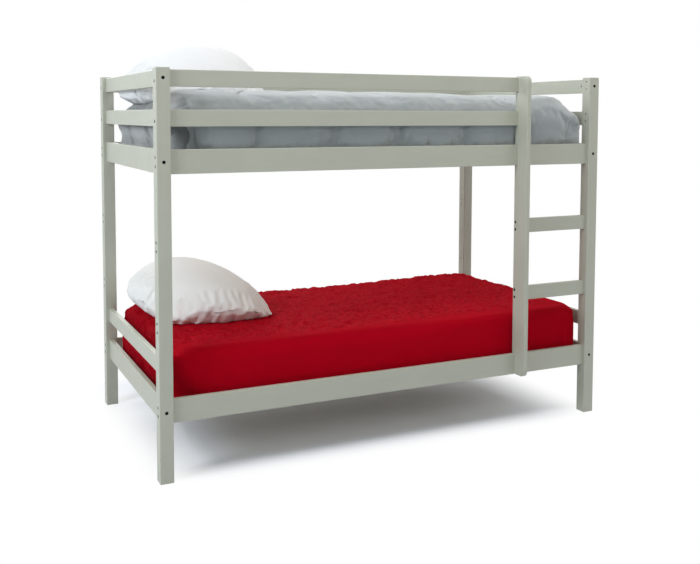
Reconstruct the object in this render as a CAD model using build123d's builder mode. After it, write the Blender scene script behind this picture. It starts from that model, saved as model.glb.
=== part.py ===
"""Twin over twin bunk bed in painted timber, with its slats, mattresses, bedding and pillows.

Four one-piece posts carry two decks. Every rail butts on a post and is drawn tight by bolts that
run through the post into barrel nuts, with wooden dowels to keep it from turning. The ladder is one
deep stile, notched over the two front side rails, with two rungs between it and the right post.

Millimetres. X runs along the bed with the head end at -X, Y from the ladder side to the rear, Z up.
The origin is on the floor, in the middle of the whole object's box.
"""
from build123d import *
import math
import os

os.makedirs("parts", exist_ok=True)

# ---------------------------------------------------------------- driving dimensions
# the frame is made round the mattress it carries
mattress_length = 1865.0
mattress_width = 970.0
mattress_thick = 203.0
mattress_corner = 35.0
lower_mattress_edge = 25.0
upper_mattress_edge = 50.0  # pressed rounder by the tucked comforter
mattress_head_gap = 42.0  # mattress to the head end's rails
mattress_foot_gap = 31.0
mattress_side_gap = 19.0  # mattress to the long rails, with the bedding in it

bed_height = 1530.0  # floor to the post tops

post_side = 52.0
post_round = 3.0
post_end_round = 2.0
board_thick = 20.0  # rails, rungs and stile are all of one board
board_round = 2.0
wide_height = 90.0  # side rails and wide end rails
narrow_height = 62.0  # guard rails, narrow end rails and rungs

lower_deck = 221.0  # floor to the underside of the lower side rails
upper_deck = 1143.0  # floor to the underside of the upper side rails
top_drop = 7.0  # post tops stand this much above the top rails
low_end_gap = 85.0  # between the two lower rails of an end
ladder_opening = 356.0  # clear width between stile and post
step_pitch = 299.0  # lower side rail's top to the first rung's top, and on to the next
stile_depth = 86.0
stile_corner = 25.0  # rounding of the stile's two front corners
stile_top_drop = 2.0
notch_fit = 0.3

# hardware
bolt_r = 3.0
bolt_hole_r = 3.5  # through the posts
board_hole_r = 4.0  # in the boards, wider to let a bolt find its nut
head_r = 6.0
head_high = 4.0
head_hole_r = 6.5
head_sink = 0.5  # heads lie this far below the wood
hex_key = 4.0  # across the flats of the socket
hex_deep = 2.5
nut_r = 5.0
nut_long = 14.0
nut_hole_r = 5.1
nut_inset = 26.0  # barrel nut from the end of its board
nut_thread_fit = 0.05
bolt_past_nut = 9.0
bolt_end_fit = 0.5
dowel_r = 4.0
dowel_long = 32.0
dowel_fit = 0.1  # on the radius, and at each end
stile_dowel_bite = 12.0  # of a dowel's length in the stile, the rest in the guard rail
pair_pitch = 32.0  # two holes at one joint
guard_bolt_drop = 12.0  # guard rail bolt below the middle of its rail
wide_dowel_pitch = 56.0
top_dowel_pitch = 36.0
screw_r = 2.0
screw_head_r = 4.0
screw_fit = 0.1
screw_angle = 90  # countersink
stile_screw_long = 55.0
stile_screw_pitch = 44.0

# deck
ledger_side = 25.0
ledger_setback = 60.0  # keeps the barrel nuts clear
ledger_screws = 5
ledger_screw_inset = 50.0
ledger_screw_bite = 14.0
slat_count = 14
slat_wide = 65.0
slat_thick = 18.0
slat_end_gap = 4.0
slat_round = 1.5
slat_inset = 10.0  # first slat from the ledger's end
slat_screw_bite = 16.0
strap_wide = 25.0
strap_thick = 1.5
strap_gap = 575.0  # clear width between the two straps

# soft goods
spread_thick = 5.0  # bedspread on the mattress's sides
spread_loft = 14.0  # thin bedspread on top of the lower mattress
spread_edge = 28.0
comforter_loft = 64.0  # filled comforter on top of the upper mattress
comforter_edge = 120.0
comforter_thick = 10.0  # comforter on the mattress's sides
cover_tuck = 2.0  # bedding stops this far above the slats
pillow_length = 580.0
pillow_width = 490.0
lower_pillow_high = 248.0
upper_pillow_high = 228.0
pillow_corner = 110.0
pillow_foot = 0.80  # bottom and top faces against the full outline
pillow_crown = 0.52
pillow_seam = 0.36  # height of the widest line
lie_gap = 0.3  # loose pieces lie this far above what carries them
lower_pillow_turn = 8.0
upper_pillow_turn = 4.0
lower_pillow_head_gap = 14.0
upper_pillow_head_gap = 10.0
lower_pillow_rear_gap = 12.0
upper_pillow_rear_gap = 93.0

# ---------------------------------------------------------------- worked out once
recess = (post_side - board_thick) / 2  # boards run in the middle of the posts
stile_overhang = stile_depth - recess - board_thick  # stile beyond the post fronts
y_mid = stile_overhang / 2  # middle of the frame, with the whole box centred on 0
x_clear = (mattress_head_gap + mattress_length + mattress_foot_gap) / 2  # inner faces of the end rails
y_clear = mattress_width / 2 + mattress_side_gap  # inner faces of the long rails
x_board = x_clear + board_thick / 2  # middle plane of the end rails
y_board = y_clear + board_thick / 2  # middle plane of the long rails
half_l, half_w = x_board + post_side / 2, y_board + post_side / 2  # outer faces of the posts
x_inner = half_l - post_side  # inner faces of the posts
y_inner = half_w - post_side

lower_rail = lower_deck + wide_height / 2  # middle heights
upper_rail = upper_deck + wide_height / 2
top_rail = bed_height - top_drop - narrow_height / 2
mid_rail = (upper_deck + wide_height + top_rail - narrow_height / 2) / 2
low_end_rail = lower_deck + wide_height + low_end_gap + narrow_height / 2
rungs = [lower_deck + wide_height + step_pitch * n - narrow_height / 2 for n in (1, 2)]

stile_right = x_inner - ladder_opening
stile_left = stile_right - board_thick
stile_back = y_mid - y_clear
stile_front = stile_back - stile_depth
stile_top = bed_height - stile_top_drop
y_rung = y_mid - y_board

bore_deep = nut_inset + bolt_past_nut
peg_r, half_dowel = dowel_r + dowel_fit, dowel_long / 2
pilot_r = screw_r + screw_fit
screw_head_high = (screw_head_r - screw_r) / math.tan(math.radians(screw_angle / 2))
stile_dowel_rest = dowel_long - stile_dowel_bite
ends = (-1, 1)  # left and right, or front and rear
side_names = {-1: "left", 1: "right"}
depth_names = {-1: "front", 1: "rear"}
deck_levels = {"lower": lower_deck, "upper": upper_deck}
top_align = (Align.CENTER, Align.CENTER, Align.MAX)


def pair(middle, pitch=pair_pitch):
    return [middle - pitch / 2, middle + pitch / 2]


# heights of the joints, shared by posts, boards and hardware
guard_levels = {"top": top_rail, "middle": mid_rail}
guard_bolts = {name: level - guard_bolt_drop for name, level in guard_levels.items()}
guard_dowels = {name: level + pair_pitch for name, level in guard_bolts.items()}
side_bolts = pair(lower_rail) + pair(upper_rail)
rung_bolts = pair(rungs[0]) + pair(rungs[1])
end_rails = {  # middle height, board, bolts, dowels
    "lower_wide": (lower_rail, wide_height, [lower_rail], pair(lower_rail, wide_dowel_pitch)),
    "lower_narrow": (low_end_rail, narrow_height, [], pair(low_end_rail)),
    "upper_wide": (upper_rail, wide_height, [upper_rail], pair(upper_rail, wide_dowel_pitch)),
    "middle": (mid_rail, narrow_height, [], pair(mid_rail)),
    "top": (top_rail, narrow_height, [top_rail], pair(top_rail, top_dowel_pitch)),
}
stile_screw_x = (stile_left + stile_right) / 2


# ---------------------------------------------------------------- ways of working
def facing(point, direction):
    """A plane at a point, looking along a direction. A drill set on it goes in the other way."""
    return Plane(origin=point, z_dir=direction)


def drill(points, outward, radius, depth):
    with Locations(*[facing(point, outward) for point in points]):
        Hole(radius, depth)


def bolt_bores(points, outward, radius, through):
    """Bores right through a piece, counterbored so that the bolt heads sink in."""
    with Locations(*[facing(point, outward) for point in points]):
        CounterBoreHole(radius, head_hole_r, head_high + head_sink, through)


def keep(maker, label):
    maker.part.label = label
    export_step(maker.part, f"parts/{label}.step")


bolt_joints, dowel_joints, screw_joints = {}, {}, {}


def bolt_joint(group, outer, inward, through, nut_side):
    """A bolt from an outer face, through a piece and into a barrel nut in the board behind it."""
    bolt_joints.setdefault(group, []).append((Vector(*outer), Vector(*inward), through, nut_side))


def dowel_joint(group, point, along):
    dowel_joints.setdefault(group, []).append(facing(point, along))


def screw_joint(group, point, outward, length):
    screw_joints.setdefault(group, []).append((Vector(*point), Vector(*outward), length))


# ---------------------------------------------------------------- posts
def post(label, sx, sy):
    """One square post, bored alike at all four corners, so that the ladder fits any of them."""
    x, y = sx * x_board, y_mid + sy * y_board
    x_out, x_in = sx * half_l, sx * x_inner
    y_out, y_in = y_mid + sy * half_w, y_mid + sy * y_inner
    with BuildPart() as timber:
        with BuildSketch(Plane.XY):
            with Locations((x, y)):
                RectangleRounded(post_side, post_side, post_round)
        extrude(amount=bed_height)
        fillet(timber.faces().filter_by(Axis.Z).edges(), post_end_round)
        levels = list(guard_bolts.values()) + side_bolts + rung_bolts
        bolt_bores([(x_out, y, z) for z in levels], (sx, 0, 0), bolt_hole_r, post_side)
        peg_deep = half_dowel + dowel_fit
        drill([(x_in, y, z) for z in guard_dowels.values()], (-sx, 0, 0), peg_r, peg_deep)
        for _, _, bolts, pegs in end_rails.values():
            if bolts:
                bolt_bores([(x, y_out, z) for z in bolts], (0, sy, 0), bolt_hole_r, post_side)
            drill([(x, y_in, z) for z in pegs], (0, -sy, 0), peg_r, peg_deep)
    keep(timber, label)


for sy in ends:
    for sx in ends:
        post(f"post_{depth_names[sy]}_{side_names[sx]}", sx, sy)


# ---------------------------------------------------------------- boards
def board(
    label,
    start,
    stop,
    level,
    height,
    bolts,
    pegs,
    nut_side,
    bites=(half_dowel, half_dowel),
    pilots=(),
    countersinks=(),
):
    """A board on edge from start to stop. Both ends get bores for bolts and dowels at the given
    heights, and the face that nut_side points to gets the cross bores for the barrel nuts. bites
    says how much of a dowel's length each end takes."""
    start, stop = Vector(*start), Vector(*stop)
    along = (stop - start).normalized()
    foot = (start + stop) * 0.5 + Vector(0, 0, level - height / 2)
    with BuildPart() as timber:
        with BuildSketch(Plane(origin=foot, x_dir=along, z_dir=(0, 0, 1))):
            Rectangle((stop - start).length, board_thick)
        extrude(amount=height)
        fillet(timber.edges().filter_by(Axis((0, 0, 0), along)), board_round)
        for tip, inward, bite in ((start, along, bites[0]), (stop, along * -1, bites[1])):
            bolt_spots = [tip + Vector(0, 0, z) for z in bolts]
            if bolt_spots:
                drill(bolt_spots, inward * -1, board_hole_r, bore_deep)
                to_face = inward * nut_inset + Vector(*nut_side) * (board_thick / 2)
                nut_deep = (board_thick + nut_long) / 2
                drill([spot + to_face for spot in bolt_spots], nut_side, nut_hole_r, nut_deep)
            if pegs:
                drill([tip + Vector(0, 0, z) for z in pegs], inward * -1, peg_r, bite + dowel_fit)
        for points, outward, depth in pilots:
            drill(points, outward, pilot_r, depth)
        for points, outward in countersinks:
            with Locations(*[facing(point, outward) for point in points]):
                CounterSinkHole(pilot_r, screw_head_r + screw_fit, board_thick, screw_angle)
    keep(timber, label)


# four side rails, with pilot bores for their ledger and, in front, for the stile's screws
ledger_half = x_inner - ledger_setback
screw_reach = ledger_half - ledger_screw_inset
ledger_screw_x = [
    screw_reach * (2 * n / (ledger_screws - 1) - 1) for n in range(ledger_screws)
]
for sy in ends:
    y, face = y_mid + sy * y_board, y_mid + sy * y_clear
    inner = (0, -sy, 0)
    for deck_name, deck in deck_levels.items():
        level = deck + wide_height / 2
        bites = [(x, face, deck + ledger_side / 2) for x in ledger_screw_x]
        stile_spots = [(stile_screw_x, face, z) for z in pair(level, stile_screw_pitch)]
        board(
            f"side_rail_{deck_name}_{depth_names[sy]}",
            (-x_inner, y, 0),
            (x_inner, y, 0),
            level,
            wide_height,
            pair(level),
            [],
            inner,
            pilots=[(bites, inner, ledger_screw_bite + screw_fit)],
            countersinks=[(stile_spots, inner)] if sy < 0 else [],
        )
        for sx in ends:
            for z in pair(level):
                bolt_joint("side_rail", (sx * half_l, y, z), (-sx, 0, 0), post_side, inner)
        if sy < 0:
            for spot in stile_spots:
                screw_joint("stile", spot, inner, stile_screw_long)

# four guard rails; the front pair stops at the ladder's stile
for sy in ends:
    y = y_mid + sy * y_board
    inner = (0, -sy, 0)
    stop = stile_left if sy < 0 else x_inner
    for name, level in guard_levels.items():
        bolt_z, peg_z = guard_bolts[name], guard_dowels[name]
        board(
            f"guard_rail_{name}_{depth_names[sy]}",
            (-x_inner, y, 0),
            (stop, y, 0),
            level,
            narrow_height,
            [bolt_z],
            [peg_z],
            inner,
            bites=(half_dowel, stile_dowel_rest if sy < 0 else half_dowel),
        )
        outer, through = (stile_right, board_thick) if sy < 0 else (half_l, post_side)
        bolt_joint("guard_rail", (-half_l, y, bolt_z), (1, 0, 0), post_side, inner)
        bolt_joint("guard_rail", (outer, y, bolt_z), (-1, 0, 0), through, inner)
        dowel_joint("guard_rail", (-x_inner, y, peg_z), (1, 0, 0))
        shift = stile_dowel_bite - half_dowel if sy < 0 else 0
        dowel_joint("guard_rail", (stop + shift, y, peg_z), (1, 0, 0))

# five end rails at each end, between the posts
for sx in ends:
    x = sx * x_board
    inner = (-sx, 0, 0)
    for name, (level, height, bolts, pegs) in end_rails.items():
        board(
            f"end_rail_{name}_{side_names[sx]}",
            (x, y_mid - y_inner, 0),
            (x, y_mid + y_inner, 0),
            level,
            height,
            bolts,
            pegs,
            inner,
        )
        for sy in ends:
            for z in bolts:
                outer = (x, y_mid + sy * half_w, z)
                bolt_joint("end_rail", outer, (0, -sy, 0), post_side, inner)
            for z in pegs:
                dowel_joint("end_rail", (x, y_mid + sy * y_inner, z), (0, 1, 0))

# ---------------------------------------------------------------- ladder
for number, level in enumerate(rungs, start=1):
    inner = (0, 1, 0)
    board(
        f"ladder_rung_{number}",
        (stile_right, y_rung, 0),
        (x_inner, y_rung, 0),
        level,
        narrow_height,
        pair(level),
        [],
        inner,
    )
    for z in pair(level):
        bolt_joint("ladder", (stile_left, y_rung, z), (1, 0, 0), board_thick, inner)
        bolt_joint("ladder", (half_l, y_rung, z), (-1, 0, 0), post_side, inner)

# the stile: a deep board on edge, notched over both side rails, its front corners rounded
seat = stile_back - board_thick
with BuildPart() as stile:
    with BuildSketch(Plane.YZ.offset(stile_left)) as outline:
        with Locations(((stile_front + stile_back) / 2, (lower_deck + stile_top) / 2)):
            Rectangle(stile_depth, stile_top - lower_deck)
        fillet(outline.vertices().group_by(Axis.X)[0], stile_corner)
        for level in (lower_rail, upper_rail):
            with Locations((seat + board_thick / 2, level)):
                Rectangle(board_thick, wide_height + 2 * notch_fit, mode=Mode.SUBTRACT)
    extrude(amount=board_thick)
    for flank in (stile.faces().sort_by(Axis.X)[0], stile.faces().sort_by(Axis.X)[-1]):
        curve = [edge for edge in flank.edges() if edge.bounding_box().min.Y < seat - stile_corner]
        fillet(curve, board_round)
    stile_bores = ((stile_left, -1, rung_bolts), (stile_right, 1, guard_bolts.values()))
    for x, outward, levels in stile_bores:
        bolt_bores([(x, y_rung, z) for z in levels], (outward, 0, 0), board_hole_r, board_thick)
    stile_pegs = [(stile_left, y_rung, z) for z in guard_dowels.values()]
    drill(stile_pegs, (-1, 0, 0), peg_r, stile_dowel_bite + dowel_fit)
    for level in (lower_rail, upper_rail):
        spots = [(stile_screw_x, seat, z) for z in pair(level, stile_screw_pitch)]
        drill(spots, (0, 1, 0), pilot_r, stile_screw_long - board_thick + screw_fit)
keep(stile, "ladder_stile")

# ---------------------------------------------------------------- slatted decks
slat_length = 2 * (y_clear - slat_end_gap)
slat_pitch = 2 * (ledger_half - slat_inset - slat_wide / 2) / (slat_count - 1)
slat_screw_y = y_clear - ledger_side / 2
for deck_name, deck in deck_levels.items():
    ledger_top = deck + ledger_side
    slat_top = ledger_top + slat_thick
    first_and_last = [n * slat_pitch * (slat_count - 1) / 2 for n in ends]
    for sy in ends:
        y = y_mid + sy * (y_clear - ledger_side / 2)
        inner_face = y_mid + sy * (y_clear - ledger_side)
        with BuildPart() as ledger:
            with BuildSketch(Plane.XY.offset(deck)):
                with Locations((0, y)):
                    Rectangle(2 * ledger_half, ledger_side)
            extrude(amount=ledger_side)
            spots = [(x, inner_face, deck + ledger_side / 2) for x in ledger_screw_x]
            with Locations(*[facing(spot, (0, -sy, 0)) for spot in spots]):
                CounterSinkHole(pilot_r, screw_head_r + screw_fit, ledger_side, screw_angle)
            holes = [(x, y, ledger_top) for x in first_and_last]
            drill(holes, (0, 0, 1), pilot_r, slat_screw_bite + screw_fit)
        keep(ledger, f"slat_ledger_{deck_name}_{depth_names[sy]}")
        for spot in spots:
            screw_joint("ledger", spot, (0, -sy, 0), ledger_side + ledger_screw_bite)
        for x in first_and_last:
            screw_joint("slat", (x, y, slat_top), (0, 0, 1), slat_thick + slat_screw_bite)

    with BuildPart() as slats:
        with BuildSketch(Plane.XY.offset(ledger_top)):
            with Locations((0, y_mid)):
                with GridLocations(slat_pitch, 0, slat_count, 1):
                    Rectangle(slat_wide, slat_length)
        extrude(amount=slat_thick)
        fillet(slats.edges().filter_by(Axis.Y).group_by(Axis.Z)[-1], slat_round)
        heads = [(x, y_mid + n * slat_screw_y, slat_top) for x in first_and_last for n in ends]
        with Locations(*[facing(spot, (0, 0, 1)) for spot in heads]):
            CounterSinkHole(pilot_r, screw_head_r + screw_fit, slat_thick, screw_angle)
    keep(slats, f"slats_{deck_name}")

    with BuildPart() as straps:
        with BuildSketch(Plane.XY.offset(ledger_top)):
            with Locations((0, y_mid)):
                with GridLocations(0, strap_gap + strap_wide, 1, 2):
                    Rectangle(slat_pitch * (slat_count - 1) + slat_wide, strap_wide)
        extrude(amount=-strap_thick)
    keep(straps, f"slat_straps_{deck_name}")


# ---------------------------------------------------------------- hardware
def hex_bolts(label, joints):
    """Connector bolts with flat round heads and hexagon sockets, their heads sunk in the wood."""
    crowns = [facing(outer + inward * head_sink, inward * -1) for outer, inward, _, _ in joints]
    with BuildPart() as group:
        with Locations(*crowns):
            Cylinder(head_r, head_high, align=top_align)
        for outer, inward, through, _ in joints:
            neck = head_sink + head_high
            with Locations(facing(outer + inward * neck, inward * -1)):
                Cylinder(bolt_r, through + bore_deep - neck - bolt_end_fit, align=top_align)
        with BuildSketch(*crowns):
            RegularPolygon(hex_key / 2, 6, major_radius=False)
        extrude(amount=-hex_deep, mode=Mode.SUBTRACT)
    keep(group, label)


def barrel_nuts(label, joints):
    """Steel cross dowels, each with a threaded hole on the line of its bolt."""
    at = [outer + inward * (through + nut_inset) for outer, inward, through, _ in joints]
    with BuildPart() as group:
        with Locations(*[facing(spot, joint[3]) for spot, joint in zip(at, joints)]):
            Cylinder(nut_r, nut_long)
        mouths = [facing(spot - joint[1] * nut_r, joint[1] * -1) for spot, joint in zip(at, joints)]
        with Locations(*mouths):
            Hole(bolt_r + nut_thread_fit, 2 * nut_r)
    keep(group, label)


for name, joints in bolt_joints.items():
    hex_bolts(f"{name}_bolts", joints)
    barrel_nuts(f"{name}_barrel_nuts", joints)

for name, planes in dowel_joints.items():
    with BuildPart() as dowels:
        with Locations(*planes):
            Cylinder(dowel_r, dowel_long)
    keep(dowels, f"{name}_dowels")

for name, joints in screw_joints.items():
    with BuildPart() as screws:
        for point, outward, length in joints:
            with Locations(facing(point, outward)):
                Cylinder(screw_r, length, align=top_align)
            with Locations(facing(point, outward)):
                Cone(screw_r, screw_head_r, screw_head_high, align=top_align)
    keep(screws, f"{name}_screws")


# ---------------------------------------------------------------- soft goods
mattress_left = -x_clear + mattress_head_gap
mattress_x = mattress_left + mattress_length / 2


def plan_of(grow):
    """The mattress's outline, grown by a thickness all round."""
    with Locations((mattress_x, y_mid)):
        RectangleRounded(mattress_length + 2 * grow, mattress_width + 2 * grow, mattress_corner + grow)


def pillow(label, level, high, head_gap, rear_gap, turn):
    """A filled pillow: narrow foot, widest at its seam, and a crowned top."""
    spin = math.radians(turn)
    reach_x = (pillow_width * math.cos(spin) + pillow_length * math.sin(spin)) / 2
    reach_y = (pillow_length * math.cos(spin) + pillow_width * math.sin(spin)) / 2
    middle = (-x_clear + head_gap + reach_x, y_mid + y_clear - rear_gap - reach_y)
    shares = ((0, pillow_foot), (pillow_seam, 1), (1, pillow_crown))
    with BuildPart() as cushion:
        for up, share in shares:
            here = Plane((*middle, level + up * high), x_dir=(math.cos(spin), math.sin(spin), 0))
            with BuildSketch(here):
                RectangleRounded(pillow_width * share, pillow_length * share, pillow_corner * share)
        loft()
    keep(cushion, label)


covers = {
    "lower": ("lower_bedspread", spread_loft, spread_edge, spread_thick),
    "upper": ("upper_comforter", comforter_loft, comforter_edge, comforter_thick),
}
mattress_edges = {"lower": lower_mattress_edge, "upper": upper_mattress_edge}
pillow_places = {
    "lower": (lower_pillow_high, lower_pillow_head_gap, lower_pillow_rear_gap, lower_pillow_turn),
    "upper": (upper_pillow_high, upper_pillow_head_gap, upper_pillow_rear_gap, upper_pillow_turn),
}
for deck_name, deck in deck_levels.items():
    underside = deck + ledger_side + slat_thick + lie_gap
    mattress_top = underside + mattress_thick
    cover_name, loft_high, edge, side_thick = covers[deck_name]
    cover_top = mattress_top + loft_high
    with BuildPart() as mattress:
        with BuildSketch(Plane.XY.offset(underside)):
            plan_of(0)
        extrude(amount=mattress_thick)
        fillet(mattress.faces().filter_by(Axis.Z).edges(), mattress_edges[deck_name])
    keep(mattress, f"{deck_name}_mattress")

    with BuildPart() as cover:
        with BuildSketch(Plane.XY.offset(underside + cover_tuck)):
            plan_of(side_thick)
        extrude(amount=cover_top - underside - cover_tuck)
        fillet(cover.faces().sort_by(Axis.Z)[-1].edges(), edge)
        add(mattress.part, mode=Mode.SUBTRACT)
    keep(cover, cover_name)

    pillow(f"{deck_name}_pillow", cover_top + lie_gap, *pillow_places[deck_name])
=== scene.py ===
import math

import bmesh
import bpy
from mathutils import Matrix, Vector, noise
from mathutils.bvhtree import BVHTree


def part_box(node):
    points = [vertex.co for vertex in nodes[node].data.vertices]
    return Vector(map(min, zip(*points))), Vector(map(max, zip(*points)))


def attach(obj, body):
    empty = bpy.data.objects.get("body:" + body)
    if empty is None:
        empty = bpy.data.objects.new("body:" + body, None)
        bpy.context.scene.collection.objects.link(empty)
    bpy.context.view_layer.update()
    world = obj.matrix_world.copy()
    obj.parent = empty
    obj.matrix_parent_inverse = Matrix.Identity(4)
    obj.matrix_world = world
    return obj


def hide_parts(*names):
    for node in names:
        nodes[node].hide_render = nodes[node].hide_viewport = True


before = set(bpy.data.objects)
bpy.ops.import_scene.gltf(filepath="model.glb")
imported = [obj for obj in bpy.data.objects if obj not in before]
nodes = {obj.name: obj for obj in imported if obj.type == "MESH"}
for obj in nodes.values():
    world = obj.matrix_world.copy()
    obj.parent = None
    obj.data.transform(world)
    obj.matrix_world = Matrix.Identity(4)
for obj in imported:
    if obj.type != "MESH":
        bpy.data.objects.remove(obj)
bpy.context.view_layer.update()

# ------------------------------------------------------------------ painted frame
# Posts, rails, rungs and the ladder's stile are planed softwood boards, sprayed with a satin
# sage-grey paint that lets the grain show only as faint lines along each board.
# They butt on the posts and on the stile, and are drawn tight by the bolts of the next section.
sage = (0.418, 0.425, 0.354)
sage_deep = (0.386, 0.393, 0.324)
post_x, post_y, posts_shift = 0.979, 0.514, 0.025  # the posts' middles, and their shift along Y
post_core = 0.0257  # from a post's middle to just short of its faces
post_flat = 0.0215  # half the width of a post's face, without its rounded edges
post_end = 0.012  # end grain and rounded edges, clear of every bore
# painted shade for the bore walls at the bolt heads
bore_painted_shade = (0.012, 0.012, 0.011, 1)


def put(tree, kind, inputs=None, **settings):
    """Adds a node to a tree. An input takes a number, a colour or another node's socket."""
    node = tree.nodes.new(kind)
    for key, value in settings.items():
        setattr(node, key, value)
    for key, value in (inputs or {}).items():
        if isinstance(value, bpy.types.NodeSocket):
            tree.links.new(value, node.inputs[key])
        else:
            node.inputs[key].default_value = value
    return node


def sums(tree, operation, first, second):
    return put(tree, "ShaderNodeMath", {0: first, 1: second}, operation=operation).outputs[0]


def absolute(tree, value):
    return put(tree, "ShaderNodeMath", {0: value}, operation="ABSOLUTE").outputs[0]


def blended(tree, share, first, second):
    """A colour between two colours."""
    mix = put(tree, "ShaderNodeMix", {0: share, 6: first, 7: second}, data_type="RGBA")
    return mix.outputs[2]


def ranged(tree, value, low, high, to_low=0.0, to_high=1.0):
    inputs = {"Value": value, "From Min": low, "From Max": high}
    inputs |= {"To Min": to_low, "To Max": to_high}
    return put(tree, "ShaderNodeMapRange", inputs).outputs[0]


def effect(name, inputs, outputs):
    """An effect that several finishes share: a node group with named sockets."""
    group = bpy.data.node_groups.new(name, "ShaderNodeTree")
    for label, kind, value in inputs:
        socket = group.interface.new_socket(label, in_out="INPUT", socket_type=kind)
        if value is not None:
            socket.default_value = value
    for label in outputs:
        group.interface.new_socket(label, in_out="OUTPUT", socket_type="NodeSocketFloat")
    return group, put(group, "NodeGroupInput").outputs, put(group, "NodeGroupOutput").inputs


def finish(name):
    """A new material: its tree and its Principled shader."""
    material = bpy.data.materials.new(name)
    material.use_nodes = True
    return material, material.node_tree, material.node_tree.nodes["Principled BSDF"]


def dressed(piece, material):
    piece.data.materials.clear()
    piece.data.materials.append(material)


def bumped(tree, shader, height, distance, strength=1.0):
    inputs = {"Height": height, "Distance": distance, "Strength": strength}
    tree.links.new(put(tree, "ShaderNodeBump", inputs).outputs[0], shader.inputs["Normal"])


grain, grain_in, grain_out = effect(
    "wood grain", [("Along X", "NodeSocketVector", None)], ["Streaks", "Rings", "Pores"]
)
for label, stretch, scale, detail in (
    ("Streaks", (1.0, 14.0, 14.0), 3.0, 4.0),
    ("Pores", (1.0, 40.0, 40.0), 12.0, 2.0),
):
    drawn_out = put(grain, "ShaderNodeMapping", {"Vector": grain_in[0], "Scale": stretch})
    inputs = {"Vector": drawn_out.outputs[0], "Scale": scale, "Detail": detail}
    fibre = put(grain, "ShaderNodeTexNoise", inputs)
    grain.links.new(fibre.outputs[0], grain_out[label])
drawn_out = put(grain, "ShaderNodeMapping", {"Vector": grain_in[0], "Scale": (0.35, 1.0, 1.0)})
inputs = {"Vector": drawn_out.outputs[0], "Scale": 22.0, "Distortion": 9.0}
inputs |= {"Detail": 2.0, "Detail Scale": 0.9}
rings = put(grain, "ShaderNodeTexWave", inputs, bands_direction="Y")
grain.links.new(rings.outputs["Fac"], grain_out["Rings"])

along = {"X": (0, 0, 0), "Y": (0, 0, -math.pi / 2), "Z": (0, math.pi / 2, 0)}


def grain_along(tree, axis):
    """The grain of a board that runs along an axis."""
    place = put(tree, "ShaderNodeTexCoord").outputs["Object"]
    turned = put(tree, "ShaderNodeMapping", {"Vector": place, "Rotation": along[axis]})
    lines = put(tree, "ShaderNodeGroup", node_tree=grain)
    tree.links.new(turned.outputs[0], lines.inputs[0])
    return place, lines.outputs


def sage_paint(axis):
    material, tree, shader = finish(f"sage paint, boards along {axis}")
    place, lines = grain_along(tree, axis)
    clouds = put(tree, "ShaderNodeTexNoise", {"Vector": place, "Scale": 5.0, "Detail": 3.0})
    tone = sums(tree, "ADD", clouds.outputs[0], sums(tree, "MULTIPLY", lines["Streaks"], 0.6))
    colour = blended(tree, ranged(tree, tone, 0.45, 1.15), (*sage_deep, 1), (*sage, 1))
    if axis == "Z":
        # inside a post only the walls of its bores show; those at the bolt heads are painted with
        # shade, as dark as a shadowed hole
        parts = put(tree, "ShaderNodeSeparateXYZ", {0: place}).outputs
        depths = []
        for part, shift, middle in ((parts[0], 0.0, post_x), (parts[1], posts_shift, post_y)):
            off = absolute(tree, sums(tree, "SUBTRACT", part, shift))
            depths.append(absolute(tree, sums(tree, "SUBTRACT", off, middle)))
        inside = sums(tree, "LESS_THAN", sums(tree, "MAXIMUM", *depths), post_core)
        off_edge = sums(tree, "LESS_THAN", sums(tree, "MINIMUM", *depths), post_flat)
        at_head = sums(tree, "MULTIPLY", off_edge, sums(tree, "LESS_THAN", parts[0], 0.0))
        post_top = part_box("post_front_left")[1].z
        off_ends = sums(tree, "LESS_THAN", parts[2], post_top - post_end)
        off_ends = sums(tree, "MULTIPLY", off_ends, sums(tree, "GREATER_THAN", parts[2], post_end))
        at_head = sums(tree, "MULTIPLY", at_head, off_ends)
        # painted shade on the bore walls at the bolt heads
        painted_bore_shade = sums(tree, "MULTIPLY", inside, at_head)
        colour = blended(tree, painted_bore_shade, colour, bore_painted_shade)
    tree.links.new(colour, shader.inputs["Base Color"])
    sheen_spots = put(tree, "ShaderNodeTexNoise", {"Vector": place, "Scale": 60.0, "Detail": 2.0})
    roughness = ranged(tree, sheen_spots.outputs[0], 0.3, 0.7, 0.40, 0.50)
    tree.links.new(roughness, shader.inputs["Roughness"])
    stipple = put(tree, "ShaderNodeTexNoise", {"Vector": place, "Scale": 420.0, "Detail": 1.0})
    relief = sums(tree, "ADD", lines["Pores"], sums(tree, "MULTIPLY", lines["Rings"], 0.5))
    relief = sums(tree, "ADD", relief, sums(tree, "MULTIPLY", stipple.outputs[0], 0.5))
    bumped(tree, shader, relief, 0.00035)
    return material


board_axes = {
    "post_": "Z",
    "ladder_stile": "Z",
    "end_rail_": "Y",
    "side_rail_": "X",
    "guard_rail_": "X",
    "ladder_rung_": "X",
}
sage_paints = {axis: sage_paint(axis) for axis in along}
for name, node in nodes.items():
    if not name.endswith(("_bolts", "_barrel_nuts", "_dowels")):
        for start, axis in board_axes.items():
            if name.startswith(start):
                dressed(node, sage_paints[axis])

# ------------------------------------------------------------------ bolts, barrel nuts, screws
# The connector bolts are blackened steel with a thin film of oil, and the barrel nuts and wood
# screws are zinc plated. Bolt heads sit just below the wood in their counterbores.
# All of them are turned parts, so fine rings run round each shank.
black_oxide, tree, shader = finish("black oxide steel")
place = put(tree, "ShaderNodeTexCoord").outputs["Object"]
scuffs = put(tree, "ShaderNodeTexNoise", {"Vector": place, "Scale": 900.0, "Detail": 3.0})
scuffs = scuffs.outputs[0]
bare = ranged(tree, scuffs, 0.62, 0.75)
colour = blended(tree, bare, (0.008, 0.008, 0.009, 1), (0.03, 0.03, 0.032, 1))
tree.links.new(colour, shader.inputs["Base Color"])
tree.links.new(ranged(tree, scuffs, 0.3, 0.7, 0.6, 0.8), shader.inputs["Roughness"])
shader.inputs["Specular IOR Level"].default_value = 0.03
bumped(tree, shader, scuffs, 0.0001)

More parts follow.
